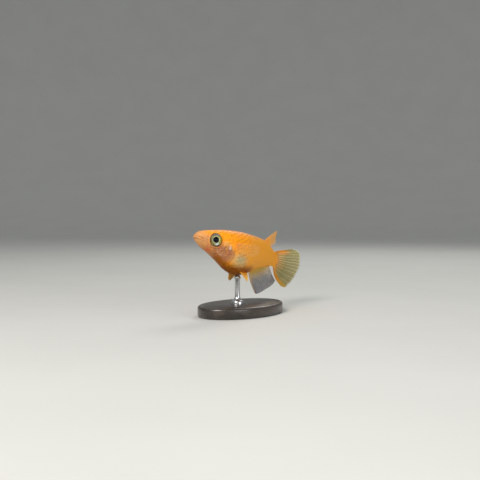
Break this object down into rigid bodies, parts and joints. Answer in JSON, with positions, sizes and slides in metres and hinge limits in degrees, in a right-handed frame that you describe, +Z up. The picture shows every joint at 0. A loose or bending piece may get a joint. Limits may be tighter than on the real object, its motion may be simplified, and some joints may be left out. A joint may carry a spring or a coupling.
{
  "type": "orange medaka",
  "caption": "Life-size still model of an orange medaka, a small pond fish, held in its swimming pose on a plain display stand.",
  "frame": {"origin": "centre of the underside of the stand's base", "axes": "+Z up; the fish's head points towards -X and its tail towards +X; its left side faces -Y"},
  "size_m": [0.0387, 0.016, 0.0195],
  "materials": {
    "skin": "wet orange fish skin with fine scales",
    "eye": "clear wet eye, yellow-green iris and black pupil",
    "orange_fin": "thin orange fin membrane with rays",
    "clear_fin": "thin translucent fin membrane with pale rays",
    "stand_base": "black stained wood, satin",
    "stand_rod": "brushed steel"
  },
  "bodies": {
    "root": {"head": "skin", "trunk": "skin", "tail_stalk": "skin", "eye_left": "eye", "eye_right": "eye", "dorsal_fin": "orange_fin", "anal_fin": "clear_fin", "tail_fin": "clear_fin", "pectoral_fin_left": "clear_fin", "pectoral_fin_right": "clear_fin", "pelvic_fin_left": "orange_fin", "pelvic_fin_right": "orange_fin", "stand_base": "stand_base", "stand_rod": "stand_rod"}
  },
  "joints": []
}
